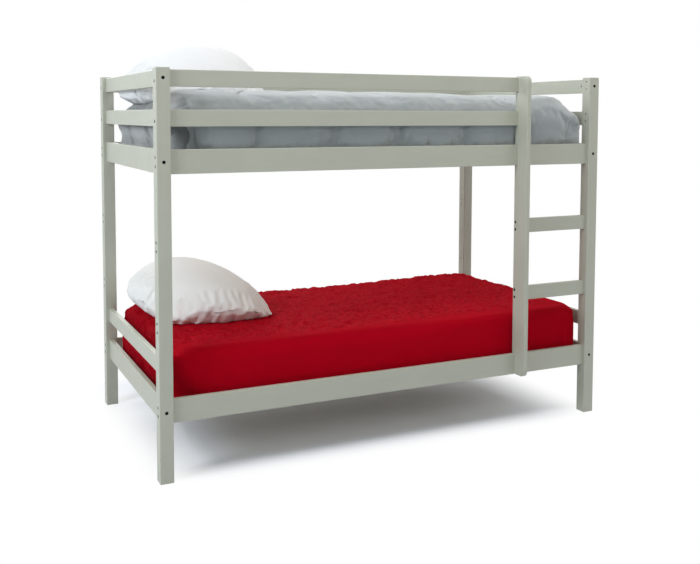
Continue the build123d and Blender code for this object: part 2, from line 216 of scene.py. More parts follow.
zinc, tree, shader = finish("zinc plated steel")
place = put(tree, "ShaderNodeTexCoord").outputs["Object"]
spangle = put(tree, "ShaderNodeTexVoronoi", {"Vector": place, "Scale": 700.0}).outputs["Distance"]
colour = blended(tree, spangle, (0.60, 0.62, 0.66, 1), (0.48, 0.49, 0.52, 1))
tree.links.new(colour, shader.inputs["Base Color"])
tree.links.new(ranged(tree, spangle, 0.0, 1.0, 0.28, 0.45), shader.inputs["Roughness"])
shader.inputs["Metallic"].default_value = 1.0
bumped(tree, shader, spangle, 0.00005)

for name, node in nodes.items():
    if name.endswith("_bolts"):
        dressed(node, black_oxide)
    elif name.endswith(("_barrel_nuts", "_screws")):
        dressed(node, zinc)

# ------------------------------------------------------------------ dowels, ledgers and slats
# The dowels are beech. The ledgers and slats are bare planed pine with a few knots, hidden
# under the mattresses, and two woven tapes under each deck keep its slats in step.
# Each ledger is screwed to its side rail, and the first and last slats to the ledgers.


def bare_wood(name, axis, pale, dark, knotty):
    material, tree, shader = finish(name)
    place, lines = grain_along(tree, axis)
    tone = sums(tree, "ADD", sums(tree, "MULTIPLY", lines["Rings"], 0.55), lines["Streaks"])
    colour = blended(tree, ranged(tree, tone, 0.35, 1.25), (*pale, 1), (*dark, 1))
    if knotty:
        squeezed = tuple(2.2 if axis == length else 5.5 for length in "XYZ")
        spread = put(tree, "ShaderNodeMapping", {"Vector": place, "Scale": squeezed})
        knots = put(tree, "ShaderNodeTexVoronoi", {"Vector": spread.outputs[0], "Scale": 1.0})
        heart = ranged(tree, knots.outputs["Distance"], 0.05, 0.11, 1.0, 0.0)
        colour = blended(tree, heart, colour, (0.20, 0.09, 0.035, 1))
    tree.links.new(colour, shader.inputs["Base Color"])
    tree.links.new(ranged(tree, lines["Pores"], 0.3, 0.7, 0.55, 0.72), shader.inputs["Roughness"])
    bumped(tree, shader, sums(tree, "ADD", lines["Pores"], lines["Rings"]), 0.0003)
    return material


weave, weave_in, weave_out = effect(
    "plain weave",
    [("Cloth", "NodeSocketVector", None), ("Threads per metre", "NodeSocketFloat", 600.0)],
    ["Height", "Slubs"],
)
waves = []
for way in (0, 1):
    part = put(weave, "ShaderNodeSeparateXYZ", {0: weave_in[0]}).outputs[way]
    turns = sums(weave, "MULTIPLY", part, sums(weave, "MULTIPLY", weave_in[1], math.pi))
    waves.append(put(weave, "ShaderNodeMath", {0: turns}, operation="SINE").outputs[0])
crossed = sums(weave, "MULTIPLY", waves[0], waves[1])
weave.links.new(ranged(weave, crossed, -1.0, 1.0), weave_out["Height"])
slubs = put(weave, "ShaderNodeTexNoise", {"Vector": weave_in[0], "Scale": 90.0, "Detail": 4.0})
weave.links.new(slubs.outputs[0], weave_out["Slubs"])


def on_cloth(tree):
    """A cloth's own flat coordinates, kept on its points."""
    return put(tree, "ShaderNodeAttribute", attribute_name="cloth").outputs["Vector"]


def woven(tree, cloth, threads):
    """The weave of a cloth, on that cloth's own flat coordinates in metres."""
    threaded = put(tree, "ShaderNodeGroup", node_tree=weave)
    tree.links.new(cloth, threaded.inputs[0])
    threaded.inputs[1].default_value = threads
    return threaded.outputs


pine_pale, pine_dark = (0.72, 0.60, 0.44), (0.58, 0.44, 0.28)
slat_pine = bare_wood("pine slats", "Y", pine_pale, pine_dark, True)
ledger_pine = bare_wood("pine ledgers", "X", pine_pale, pine_dark, True)
beech = bare_wood("beech dowels", "X", (0.58, 0.38, 0.21), (0.45, 0.27, 0.14), False)
tape_finish, tree, shader = finish("woven slat tape")
place = put(tree, "ShaderNodeTexCoord").outputs["Object"]
threads = woven(tree, place, 900.0)
colour = blended(tree, threads["Slubs"], (0.62, 0.62, 0.60, 1), (0.78, 0.78, 0.76, 1))
tree.links.new(colour, shader.inputs["Base Color"])
tree.links.new(ranged(tree, threads["Slubs"], 0.3, 0.7, 0.75, 0.9), shader.inputs["Roughness"])
bumped(tree, shader, threads["Height"], 0.0004)

for name, node in nodes.items():
    if name.endswith("_dowels"):
        dressed(node, beech)
    elif name.startswith("slat_ledger_"):
        dressed(node, ledger_pine)
    elif name.startswith("slats_"):
        dressed(node, slat_pine)
    elif name.startswith("slat_straps_"):
        dressed(node, tape_finish)

# ------------------------------------------------------------------ mattresses
# Two foam mattresses in white woven ticking. Top and bottom panels are quilted in diamonds, a
# plain border runs round the sides, and a bound tape edge joins them.
# Each lies loose on its slats, inside the side rails.
diamond = 0.12
quilt_deep = 0.004
tape_r = 0.005
ticking_white, ticking_shade = (0.80, 0.79, 0.76), (0.70, 0.69, 0.65)
ticking_cell = 0.016
pad_clear = 0.001  # the ticking stays this far inside the mattress's solid


def smoothstep(value, low, high):
    share = min(max((value - low) / (high - low), 0.0), 1.0)
    return share * share * (3 - 2 * share)


def over_block(s, t, half_x, half_y, corner, edge, tight):
    """Where a point (s, t) of a flat cloth lies once the cloth is laid over a block, from the
    middle of the block's top, and which way it faces. The block's top has corners of one radius,
    its sides meet in tighter ones (a radius, or a function of the drop that gives one), and edge
    is the rounding between top and sides."""
    past_x = max(abs(s) - (half_x - corner), 0.0)
    past_y = max(abs(t) - (half_y - corner), 0.0)
    past = max(past_x, past_y)
    if past < 1e-9:
        return Vector((s, t, 0.0)), Vector((0.0, 0.0, 1.0))
    turn = math.pi / 4 * (past_y / past_x if past_x >= past_y else 2 - past_x / past_y)
    cosine, sine = math.cos(turn), math.sin(turn)
    level_part = corner - edge
    lean = min(max((past - level_part) / edge, 0.0), math.pi / 2)
    reach = min(past, level_part) + edge * math.sin(lean)
    drop = edge * (1 - math.cos(lean)) + max(past - level_part - edge * math.pi / 2, 0.0)
    inner = corner - tight(drop) if callable(tight) else corner - tight
    side_radius = corner - inner
    outline = corner / max(cosine, sine)
    if corner * min(cosine, sine) / max(cosine, sine) > inner:
        squared = (inner * (cosine + sine)) ** 2 - 2 * inner ** 2 + side_radius ** 2
        outline = inner * (cosine + sine) + math.sqrt(max(squared, 0.0))
    reach *= 1 + (outline / corner - 1) * smoothstep(drop, 0.0, edge)
    out_x, out_y = math.copysign(cosine, s), math.copysign(sine, t)
    core_x = math.copysign(min(abs(s), half_x - corner), s)
    core_y = math.copysign(min(abs(t), half_y - corner), t)
    at = Vector((core_x + out_x * reach, core_y + out_y * reach, -drop))
    facing = Vector((out_x * math.sin(lean), out_y * math.sin(lean), math.cos(lean)))
    return at, facing


def cloth_margin(corner, edge, drop):
    """How far a cloth runs on past a block's core to hang that far down its sides."""
    return corner - edge + edge * math.pi / 2 + drop - edge


def flat_cloth(half_x, half_y, cell):
    """A flat rectangle of cloth, with its own coordinates kept on its points."""
    bm = bmesh.new()
    columns, rows = round(2 * half_x / cell), round(2 * half_y / cell)
    bmesh.ops.create_grid(bm, x_segments=columns, y_segments=rows, size=1.0)
    flat = bm.verts.layers.float_vector.new("cloth")
    for vert in bm.verts:
        vert.co.x *= half_x
        vert.co.y *= half_y
        vert[flat] = vert.co.copy()
    return bm, flat


def doubled(bm):
    """A second layer of a cloth: all that was added, and its points."""
    added = bmesh.ops.duplicate(bm, geom=bm.verts[:] + bm.edges[:] + bm.faces[:])["geom"]
    return added, [item for item in added if isinstance(item, bmesh.types.BMVert)]


def turned_over(bm, layer):
    faces = [item for item in layer if isinstance(item, bmesh.types.BMFace)]
    bmesh.ops.reverse_faces(bm, faces=faces)


def as_piece(name, bm, material):
    mesh = bpy.data.meshes.new(name)
    bm.to_mesh(mesh)
    bm.free()
    mesh.materials.append(material)
    mesh.polygons.foreach_set("use_smooth", [True] * len(mesh.polygons))
    piece = bpy.data.objects.new(name, mesh)
    bpy.context.scene.collection.objects.link(piece)
    return piece


ticking, tree, shader = finish("mattress ticking")
cloth = on_cloth(tree)
threads = woven(tree, cloth, 1300.0)
colour = blended(tree, threads["Slubs"], (*ticking_white, 1), (*ticking_shade, 1))
tree.links.new(colour, shader.inputs["Base Color"])
tree.links.new(ranged(tree, threads["Slubs"], 0.3, 0.7, 0.8, 0.95), shader.inputs["Roughness"])
bumped(tree, shader, sums(tree, "ADD", threads["Height"], threads["Slubs"]), 0.0005)


def mattress(deck, corner, edge, tight):
    name = f"{deck}_mattress"
    low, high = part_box(name)
    middle = (low + high) / 2
    half_x, half_y = (high.x - low.x) / 2 - pad_clear, (high.y - low.y) / 2 - pad_clear
    half_thick = (high.z - low.z) / 2
    margin = cloth_margin(corner, edge, half_thick)
    bm, flat = flat_cloth(half_x - corner + margin, half_y - corner + margin, ticking_cell)
    for vert in bm.verts:
        s, t = vert[flat].x, vert[flat].y
        at, facing = over_block(s, t, half_x, half_y, corner, edge, tight)
        inside = min(half_x - corner - abs(s), half_y - corner - abs(t))
        ridge = abs(math.sin(math.pi * (s + t) / diamond) * math.sin(math.pi * (s - t) / diamond))
        sunk = quilt_deep * (1 - ridge ** 0.4) * smoothstep(inside, 0.0, 0.03)
        vert.co = at - facing * (sunk + 0.0005) + Vector((0, 0, half_thick))
    both, lower_half = doubled(bm)
    for vert in lower_half:
        vert.co.z *= -1
    turned_over(bm, both)
    bmesh.ops.remove_doubles(bm, verts=bm.verts, dist=0.0002)
    bmesh.ops.translate(bm, verts=bm.verts, vec=middle)
    pad = as_piece(f"{name}_pad", bm, ticking)
    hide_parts(name)
    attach(pad, f"{deck}_bedding")

    # the bound edge round the bottom panel: a rounded rectangle of tube
    path = bpy.data.curves.new(f"{name}_edge", "CURVE")
    path.dimensions, path.bevel_depth, path.bevel_resolution = "3D", tape_r, 3
    path.resolution_u = 6
    line = path.splines.new("BEZIER")
    line.bezier_points.add(7)
    line.use_cyclic_u = True
    pull = 0.5523 * corner  # a quarter circle's handles
    inset = tape_r + 0.001
    ends_x, ends_y = half_x - inset, half_y - inset
    stops = []
    for turn in range(4):
        sx, sy = ((1, 1), (-1, 1), (-1, -1), (1, -1))[turn]
        across = Vector((sx * ends_x, sy * (ends_y - corner), 0))
        lengthwise = Vector((sx * (ends_x - corner), sy * ends_y, 0))
        to_corner = Vector((0, sy * pull, 0)), Vector((sx * pull, 0, 0))
        pair = [(across, to_corner[0]), (lengthwise, to_corner[1])]
        if sx * sy < 0:
            pair.reverse()
        stops += pair
    for number, (point, (spot, pull_on)) in enumerate(zip(line.bezier_points, stops)):
        forward = 1 if number % 2 == 0 else -1
        point.co = spot
        point.handle_left = spot - pull_on * forward
        point.handle_right = spot + pull_on * forward
        point.handle_left_type = point.handle_right_type = "FREE"
    tube = bpy.data.objects.new("edge path", path)
    bpy.context.scene.collection.objects.link(tube)
    bpy.context.view_layer.update()
    mesh = bpy.data.meshes.new_from_object(tube)
    bpy.data.objects.remove(tube)
    mesh.transform(Matrix.Translation((middle.x, middle.y, low.z + edge * 0.55)))
    mesh.materials.clear()
    mesh.materials.append(tape_finish)
    binding = bpy.data.objects.new(f"{name}_tape_edge", mesh)
    bpy.context.scene.collection.objects.link(binding)
    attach(binding, f"{deck}_bedding")


mattress("lower", 0.125, 0.036, 0.110)
mattress("upper", 0.160, 0.070, 0.150)

# ------------------------------------------------------------------ red bedspread
# One crinkled cotton bedspread, quilted all over its top and plain along its borders, laid over
# the lower mattress, folded at the corners and tucked in along the sides.
# the deep red is painted shade for the crinkle's valleys and the slubs' own darker tone; the pale
# red paints highlights on its crests
spread_red, spread_painted_shade_and_slubs = (0.92, 0.0006, 0.0200), (0.56, 0.0004, 0.012)
spread_painted_highlight = (0.98, 0.030, 0.050)
spread_thick = 0.003
plain_border = 0.085
crinkle_high = 0.016
crinkle_most = 0.006  # no crinkle stands further off the mattress
fold_in = 0.075
fold_high = 0.004
spread_cell = 0.0085
spread_corner, spread_foot_corner, spread_edge = 0.140, 0.090, 0.030
spread_drawn_in = 0.040  # the radius in which its sides meet
end_band = 0.09  # how far in from an end that end's own form begins

red_cotton, tree, shader = finish("red crinkled cotton")
cloth = on_cloth(tree)
quilted = put(tree, "ShaderNodeAttribute", attribute_name="quilted").outputs["Fac"]
threads = woven(tree, cloth, 1100.0)
warp = put(tree, "ShaderNodeTexNoise", {"Vector": cloth, "Scale": 18.0, "Detail": 2.0})
warp = warp.outputs["Color"]
wandering = put(tree, "ShaderNodeMix", {0: 0.05, 4: cloth, 5: warp}, data_type="VECTOR").outputs[1]
inputs = {"Vector": wandering, "Scale": (0.8, 0.9, 1.0)}
drawn_out = put(tree, "ShaderNodeMapping", inputs).outputs[0]
puckers = put(
    tree, "ShaderNodeTexVoronoi", {"Vector": drawn_out, "Scale": 62.0}, feature="SMOOTH_F1"
).outputs["Distance"]
crinkle = sums(tree, "MULTIPLY", ranged(tree, puckers, 0.25, 0.75), quilted)
inputs = {"Vector": drawn_out, "Scale": 34.0, "Detail": 3.0}
winding = put(tree, "ShaderNodeTexNoise", inputs).outputs[0]
off_crest = absolute(tree, sums(tree, "SUBTRACT", winding, 0.5))
crest = sums(tree, "MULTIPLY", ranged(tree, off_crest, 0.0, 0.09, 1.0, 0.0), quilted)
# painted shade in the crinkle's valleys, with the slubs' own darker tone, and painted highlights
# along the winding crests
shade = sums(tree, "MULTIPLY", crinkle, 0.5)
shade = sums(tree, "ADD", shade, sums(tree, "MULTIPLY", threads["Slubs"], 0.3))
colour = blended(tree, shade, (*spread_red, 1), (*spread_painted_shade_and_slubs, 1))
colour = blended(tree, sums(tree, "MULTIPLY", crest, 0.5), colour, (*spread_painted_highlight, 1))
tree.links.new(colour, shader.inputs["Base Color"])
tree.links.new(ranged(tree, threads["Slubs"], 0.3, 0.7, 0.75, 0.92), shader.inputs["Roughness"])
shader.inputs["Specular IOR Level"].default_value = 0.03
relief = sums(tree, "ADD", sums(tree, "MULTIPLY", crinkle, -1.6), crest)
relief = sums(tree, "ADD", relief, threads["Height"])
bumped(tree, shader, relief, 0.004)

low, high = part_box("lower_bedspread")
middle = Vector(((low.x + high.x) / 2, (low.y + high.y) / 2, high.z))
half_x, half_y = (high.x - low.x) / 2, (high.y - low.y) / 2
margin = cloth_margin(spread_corner, spread_edge, high.z - low.z)
reach_x, reach_y = half_x - spread_corner + margin, half_y - spread_corner + margin
bm, flat = flat_cloth(reach_x, reach_y, spread_cell)
quilt_mask = bm.verts.layers.float.new("quilted")


def near_head_corner(drop):
    """The front corner at the head is drawn in more, the further down it hangs."""
    return spread_drawn_in + 0.080 * smoothstep(drop, 0.03, 0.19)


for vert in bm.verts:
    s, t = vert[flat].x, vert[flat].y
    soft_place = 1 - smoothstep(abs(s + 0.28), 0.25, 0.75)
    edge = spread_edge + 0.026 * soft_place * (1 if t < 0 else 0.5)
    drawn_in = spread_drawn_in
    if s < 0:
        drawn_in = 0.100 if t > 0 else near_head_corner
    corner = spread_corner if s < 0 else spread_foot_corner
    at, facing = over_block(s, t, half_x, half_y, corner, edge, drawn_in)
    wavy = 0.02 * noise.noise(Vector((s * 4, t * 4, 7.0)))
    # the plain border shows along the front and the near part of the foot
    inside_x = half_x - max(s, 0.0) + 0.08 * smoothstep(t, -0.35, 0.0)
    inside_y = half_y - abs(t) + (0.09 if t > 0 else 0.0)
    inside = min(inside_x, inside_y) - plain_border + wavy
    mask = smoothstep(inside, -0.012, 0.018)
    vert[quilt_mask] = mask
    turned = Vector((s * 22, t * 12, 0)) + 0.8 * noise.noise_vector(Vector((s * 11, t * 11, 3.0)))
    ripple = abs(noise.noise(turned)) + 0.6 * abs(noise.noise(turned * 2.1))
    lift = mask * crinkle_high * (0.42 - ripple)
    lift += 0.003 * noise.noise(Vector((s * 2.2, t * 2.2, 1.0)))
    down = -at.z
    side = smoothstep(down, 0.03, 0.09)
    lift += side * 0.0022 * noise.noise(Vector((at.x * 9 + at.y * 9, down * 1.5, 5.0)))
    from_corner = half_x - abs(at.x)
    slant = fold_in + 0.10 * (down - 0.1) * 0.4
    if abs(t) > half_y - spread_corner:
        lift += side * fold_high * (1 - smoothstep(from_corner, slant - 0.002, slant + 0.002))
    lift = min(lift, crinkle_most)
    at_head = smoothstep(-at.x, half_x - end_band, half_x)
    at.x -= 0.011 * smoothstep(down, 0.04, 0.12) * at_head
    at.z += 0.010 * smoothstep(s, 0.2, 0.8) * (1 - smoothstep(down, 0.06, 0.16))
    vert.co = at + facing * (lift - 0.001)
bmesh.ops.translate(bm, verts=bm.verts, vec=middle)
bedspread = as_piece("red_bedspread", bm, red_cotton)
layer = bedspread.modifiers.new("cloth thickness", "SOLIDIFY")
layer.thickness, layer.offset = spread_thick, -1
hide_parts("lower_bedspread")
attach(bedspread, "lower_bedding")

# ------------------------------------------------------------------ blue-grey comforter
# A filled comforter, box stitched every 310 mm, lies over the upper mattress and is tucked down
# its sides, so the filling swells between the stitches and rolls over the edges.
comforter_tone, comforter_shade = (0.292, 0.332, 0.342), (0.240, 0.275, 0.285)
# painted shade: the dark colour over the head end and its turned-in corner
comforter_painted_shade = (0.085, 0.100, 0.104)
box_stitch, stitch_shift = 0.31, 0.008
stitch_band = 0.07  # the share of a box that its stitches hold down
puff_high, puff_most = 0.012, 0.006
crown_high = 0.055
comforter_cell = 0.0105
comforter_corner, comforter_foot_corner, comforter_edge = 0.15, 0.125, 0.110
fold_from_head, fold_slant, fold_deep = 0.078, 0.18, 0.030  # the turned-in corner
lining_corner, lining_edge, lining_tight = 0.160, 0.070, 0.150

grey_cotton, tree, shader = finish("blue-grey brushed cotton")
cloth = on_cloth(tree)
threads = woven(tree, cloth, 1500.0)
faded = put(tree, "ShaderNodeTexNoise", {"Vector": cloth, "Scale": 7.0, "Detail": 4.0}).outputs[0]
tone = sums(tree, "MULTIPLY", faded, 0.6)
tone = sums(tree, "ADD", tone, sums(tree, "MULTIPLY", threads["Slubs"], 0.4))
painted_fold_shade = put(tree, "ShaderNodeAttribute", attribute_name="painted_fold_shade").outputs["Fac"]
colour = blended(tree, ranged(tree, tone, 0.3, 0.7), (*comforter_shade, 1), (*comforter_tone, 1))
# painted shade over the head end and the turned-in corner
colour = blended(tree, painted_fold_shade, colour, (*comforter_painted_shade, 1))
tree.links.new(colour, shader.inputs["Base Color"])
tree.links.new(ranged(tree, threads["Slubs"], 0.3, 0.7, 0.7, 0.88), shader.inputs["Roughness"])
shader.inputs["Sheen Weight"].default_value = 1.0
shader.inputs["Sheen Roughness"].default_value = 0.55
bumped(tree, shader, sums(tree, "ADD", threads["Height"], threads["Slubs"]), 0.0006)


def swell(piece, growth, pressure, frames, cap, held=()):
    """Lets a cloth piece take up its filling. The cloth is cut larger than its form by growth, so
    it folds and gathers. No point ends up further than cap from where it was."""
    mesh = piece.data
    start = [vert.co.copy() for vert in mesh.vertices]
    for vert in mesh.vertices:
        vert.co += 0.0012 * noise.noise_vector(vert.co * 35)
    filling = piece.modifiers.new("filling", "CLOTH")
    fabric = filling.settings
    fabric.shrink_min = -growth
    fabric.quality = 6
    fabric.mass = 0.15
    fabric.tension_stiffness = fabric.compression_stiffness = 18.0
    fabric.shear_stiffness = 6.0
    fabric.bending_stiffness = 0.06
    fabric.air_damping = 1.5
    fabric.use_pressure = True
    fabric.uniform_pressure_force = pressure
    fabric.effector_weights.gravity = 0.0
    filling.collision_settings.use_collision = False
    if held:
        group = piece.vertex_groups.new(name="held")
        group.add(held, 1.0, "REPLACE")
        fabric.vertex_group_mass = "held"
    filling.point_cache.frame_start, filling.point_cache.frame_end = 1, frames
    scene = bpy.context.scene
    for number in range(1, frames + 1):
        scene.frame_set(number)
    solved = piece.evaluated_get(bpy.context.evaluated_depsgraph_get()).data
    moved = [vert.co.copy() for vert in solved.vertices]
    piece.modifiers.remove(filling)
    scene.frame_set(1)
    for vert, before, after in zip(mesh.vertices, start, moved):
        step = after - before
        if step.length > cap:
            step *= cap / step.length
        vert.co = before + step
    mesh.update()


low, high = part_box("upper_comforter")
pad_low, pad_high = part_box("upper_mattress")
middle = Vector(((low.x + high.x) / 2, (low.y + high.y) / 2, high.z))
half_x, half_y = (high.x - low.x) / 2, (high.y - low.y) / 2
drop = high.z - low.z
margin = cloth_margin(comforter_corner, comforter_edge, drop)
reach_x, reach_y = half_x - comforter_corner + margin, half_y - comforter_corner + margin
bm, flat = flat_cloth(reach_x, reach_y, comforter_cell)
painted_shade_mask = bm.verts.layers.float.new("painted_fold_shade")
under, lining = doubled(bm)
lining = set(lining)
past_pad = cloth_margin(lining_corner, lining_edge, pad_high.z - low.z) - lining_corner
pad_half_x, pad_half_y = (pad_high.x - pad_low.x) / 2, (pad_high.y - pad_low.y) / 2
stitched_here = {}
for vert in bm.verts:
    s, t = vert[flat].x, vert[flat].y
    if vert in lining:
        lining_s = s * (pad_half_x + past_pad) / reach_x
        lining_t = t * (pad_half_y + past_pad) / reach_y
        block = pad_half_x, pad_half_y, lining_corner, lining_edge, lining_tight
        at, facing = over_block(lining_s, lining_t, *block)
        vert.co = at + facing * 0.0008 - Vector((0, 0, high.z - pad_high.z))
        continue
    drawn_in = 0.050
    if s < 0:
        drawn_in = 0.100 if t > 0 else 0.130
    past_x = max(abs(s) - (half_x - comforter_corner), 0.0)
    past_y = max(-t - (half_y - comforter_corner), 0.0)
    rounded = comforter_edge - 0.040 * past_y / (past_x + past_y + 1e-9)
    corner = comforter_corner if s < 0 else comforter_foot_corner
    at, facing = over_block(s, t, half_x, half_y, corner, rounded, drawn_in)
    boxes = math.sin(math.pi * (s - stitch_shift) / box_stitch)
    boxes = abs(boxes * math.cos(math.pi * t / box_stitch))
    down = -at.z
    lift = puff_high * (boxes ** 0.4 - 0.85)
    near_stitch = 1 - smoothstep(boxes, 0.0, 0.2)
    lift += 0.005 * near_stitch * noise.noise(Vector((s * 60, t * 60, 2.0)))
    stitched_here[vert] = boxes < stitch_band
    lift += 0.005 * noise.noise(Vector((s * 3.1, t * 3.1, 11.0)))
    lift *= 1 - 0.5 * smoothstep(down, 0.12, 0.2)
    at += facing * min(lift, puff_most)
    crown = crown_high * (1 - 0.6 * smoothstep(s, 0.45, 0.8)) * (1 - smoothstep(down, 0.05, 0.15))
    at.z += 0.006 - crown * min(abs(at.y) / half_y, 1.0) ** 2.5
    at.z -= 0.010 * smoothstep(s, 0.3, 0.6) * (1 - smoothstep(down, 0.05, 0.15))
    # the ends swell past the mattress, and the foot end reaches the rails
    swell_out = smoothstep(down, 0.02, 0.13)
    at_foot = smoothstep(at.x, half_x - end_band, half_x)
    at.x += 0.013 * smoothstep(down, 0.06, 0.16) * at_foot
    at_head = smoothstep(-at.x, half_x - end_band, half_x)
    at.x -= 0.014 * swell_out * (1 - smoothstep(down, 0.14, 0.2)) * at_head
    # the turned-in corner at the head, in front; painted shade darkens it and the whole head end
    fold = half_x + at.x - fold_from_head - fold_slant * max(down - 0.1, 0.0)
    turned = 1 - smoothstep(fold, -0.003, 0.004)
    vert[painted_shade_mask] = turned
    if t < 0 and abs(t) > half_y - comforter_corner:
        at.y += fold_deep * turned * smoothstep(down, 0.04, 0.09)
    if t < 0:
        at.y += 0.006 * smoothstep(down, 0.11, 0.18) * smoothstep(-at.y, half_y - 0.03, half_y)
    vert.co = at
turned_over(bm, under)
hems = [edge for edge in bm.edges if edge.is_boundary]
bmesh.ops.bridge_loops(bm, edges=hems)
bmesh.ops.translate(bm, verts=bm.verts, vec=middle)
bmesh.ops.recalc_face_normals(bm, faces=bm.faces)
bm.verts.index_update()
held = [
    vert.index
    for vert in bm.verts
    if vert in lining or stitched_here.get(vert) or vert.co.z < low.z + 0.03
]
comforter = as_piece("blue_grey_comforter", bm, grey_cotton)
swell(comforter, 0.035, 1.5, 12, 0.008, held)
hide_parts("upper_comforter")
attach(comforter, "upper_bedding")

# ------------------------------------------------------------------ pillows
# Two plump white pillows in plain percale cases: two rectangles of cloth sewn all round and
# filled, so they crown in the middle, gather along the seams and keep pointed corners.
# Each lies loose on its bed, with its underside pressed flat and its corners drooping.
pillow_cut = (0.66, 0.80)
pillow_cell = 0.0095
ruffle_high, ruffle_reach = 0.012, 0.022
pleat_high, pleat_reach = 0.005, 0.045
full_from_seam = 0.13
head_rails = -0.966


def percale(name, shade, tone):
    material, tree, shader = finish(name)
    cloth = on_cloth(tree)
    threads = woven(tree, cloth, 2000.0)
    colour = blended(tree, threads["Slubs"], (*shade, 1), (*tone, 1))
    tree.links.new(colour, shader.inputs["Base Color"])
    tree.links.new(ranged(tree, threads["Slubs"], 0.3, 0.7, 0.7, 0.85), shader.inputs["Roughness"])
    shader.inputs["Sheen Weight"].default_value = 0.1
    bumped(tree, shader, sums(tree, "ADD", threads["Height"], threads["Slubs"]), 0.0004)
    return material


def bed_under(piece):
    bpy.context.view_layer.update()
    shown = piece.evaluated_get(bpy.context.evaluated_depsgraph_get()).data
    spots = [vert.co for vert in shown.vertices]
    return BVHTree.FromPolygons(spots, [face.vertices for face in shown.polygons])


def pillow(name, case_cloth, corners, bows, high, deep, lean, body, bed):
    """A sewn and filled pillow. corners and bows place its seam: the front left, front right,
    rear right and rear left corners, and how far the front, right, rear and left sides bow."""
    corners, bows = [Vector(corner) for corner in corners], [Vector(bow) for bow in bows]
    bm, flat = flat_cloth(pillow_cut[0] / 2, pillow_cut[1] / 2, pillow_cell)
    both, backing = doubled(bm)
    backing = set(backing)
    turned_over(bm, both)
    for vert in bm.verts:
        u, v = 2 * vert[flat].x / pillow_cut[0], 2 * vert[flat].y / pillow_cut[1]
        across, along_it = math.sin(u * math.pi / 2), math.sin(v * math.pi / 2)
        left, right = (1 - across) / 2, (1 + across) / 2
        front, rear = (1 - along_it) / 2, (1 + along_it) / 2
        front_seam = left * corners[0] + right * corners[1]
        rear_seam = right * corners[2] + left * corners[3]
        at = front * front_seam + rear * rear_seam
        at += (1 - across ** 2) * (front * bows[0] + rear * bows[2])
        at += (1 - along_it ** 2) * (right * bows[1] + left * bows[3])
        full = max(math.cos(u * math.pi / 2) * math.cos(v * math.pi / 2), 0.0)
        full **= 0.85 + 0.2 * smoothstep(u, 0.2, 1.0)
        if vert in backing:
            at.z -= deep * full
        else:
            at.z += high * full * (1 - lean * across)
        # the seam ruffles, and pleats run in from it
        from_side = (1 - abs(u)) * pillow_cut[0] / 2
        from_end = (1 - abs(v)) * pillow_cut[1] / 2
        run = vert[flat].y if from_side < from_end else vert[flat].x
        side = math.copysign(3.0, u) if from_side < from_end else math.copysign(6.0, v)
        inward = min(from_side, from_end)
        corner_calm = smoothstep(max(from_side, from_end), 0.0, 0.08)
        ruffle = noise.noise(Vector((run * 30, side, 0.5))) * ruffle_high
        ruffle *= math.exp(-inward / ruffle_reach)
        pleat = noise.noise(Vector((run * 42, side, 9.0 if vert in backing else 4.0)))
        pleat *= pleat_high * math.exp(-abs(inward - 0.03) / pleat_reach)
        at.z += corner_calm * (ruffle + (-pleat if vert in backing else pleat))
        vert.co = at
    rims = [vert for vert in bm.verts if vert.is_boundary]
    bmesh.ops.remove_doubles(bm, verts=rims, dist=0.0005)

    def from_seam(vert):
        return min(pillow_cut[0] / 2 - abs(vert[flat].x), pillow_cut[1] / 2 - abs(vert[flat].y))

    seam = {vert for vert in bm.verts if from_seam(vert) < 0.001}
    crease = bm.edges.layers.float.new("crease_edge")
    for edge in bm.edges:
        if edge.verts[0] in seam and edge.verts[1] in seam:
            edge[crease] = 0.8
    bm.verts.index_update()
    full_part = [vert.index for vert in bm.verts if from_seam(vert) > full_from_seam]
    case = as_piece(name, bm, case_cloth)
    swell(case, 0.08, 0.6, 20, 0.016, full_part)
    for vert in case.data.vertices:
        vert.co.x = max(vert.co.x, head_rails)
        hit = bed.ray_cast(Vector((vert.co.x, vert.co.y, 3.0)), Vector((0, 0, -1)))[0]
        if hit is not None:
            vert.co.z = max(vert.co.z, hit.z + 0.001)
    smoother = case.modifiers.new("round", "SUBSURF")
    smoother.levels = smoother.render_levels = 1
    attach(case, body)
    return case


lower_pillow = pillow(
    "white_lower_pillow",
    percale("warm white percale", (0.79, 0.78, 0.75), (0.84, 0.83, 0.80)),
    (
        (-0.845, -0.045, 0.510),
        (-0.386, -0.042, 0.490),
        (-0.460, 0.490, 0.500),
        (-0.890, 0.460, 0.530),
    ),
    ((0.01, -0.085, 0.035), (0.015, 0, 0.03), (0, 0.02, 0.03), (-0.065, 0, 0.050)),
    0.136, 0.135, 0.25, "lower_pillow", bed_under(bedspread),
)
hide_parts("lower_pillow")
upper_pillow = pillow(
    "white_upper_pillow",
    # a darker copy of the pillows' white, painted shade that keeps the upper case from clipping
    # under the brighter overhead light
    percale("white percale", (0.66, 0.665, 0.67), (0.71, 0.715, 0.72)),
    (
        (-0.915, -0.150, 1.432),
        (-0.466, -0.135, 1.440),
        (-0.430, 0.420, 1.460),
        (-0.945, 0.400, 1.450),
    ),
    ((0.01, -0.055, 0.0), (0.045, 0, 0.02), (0, 0.03, 0.03), (-0.035, 0, 0.01)),
    0.190, 0.105, 0.02, "upper_pillow", bed_under(comforter),
)
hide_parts("upper_pillow")

# ------------------------------------------------------------------ studio
# A plain pale floor that fades to a white surround, lit by eight softboxes: two overhead, a cool
# one on the left and one on the right, two warmer ones in front and two behind.
floor_middle, floor_core = (0, 0.2, 0), (0.72, 0.58, 0)  # the floor fades from the core outwards
floor_fade = (2.9, 5.0, 0)


def seen_directly(tree):
    """1 for camera, glossy and transmission rays, and 0 for the rays that only carry light."""
    path = put(tree, "ShaderNodeLightPath").outputs
    seen = sums(tree, "ADD", path["Is Camera Ray"], path["Is Glossy Ray"])
    inputs = {0: seen, 1: path["Is Transmission Ray"]}
    return put(tree, "ShaderNodeMath", inputs, operation="ADD", use_clamp=True).outputs[0]


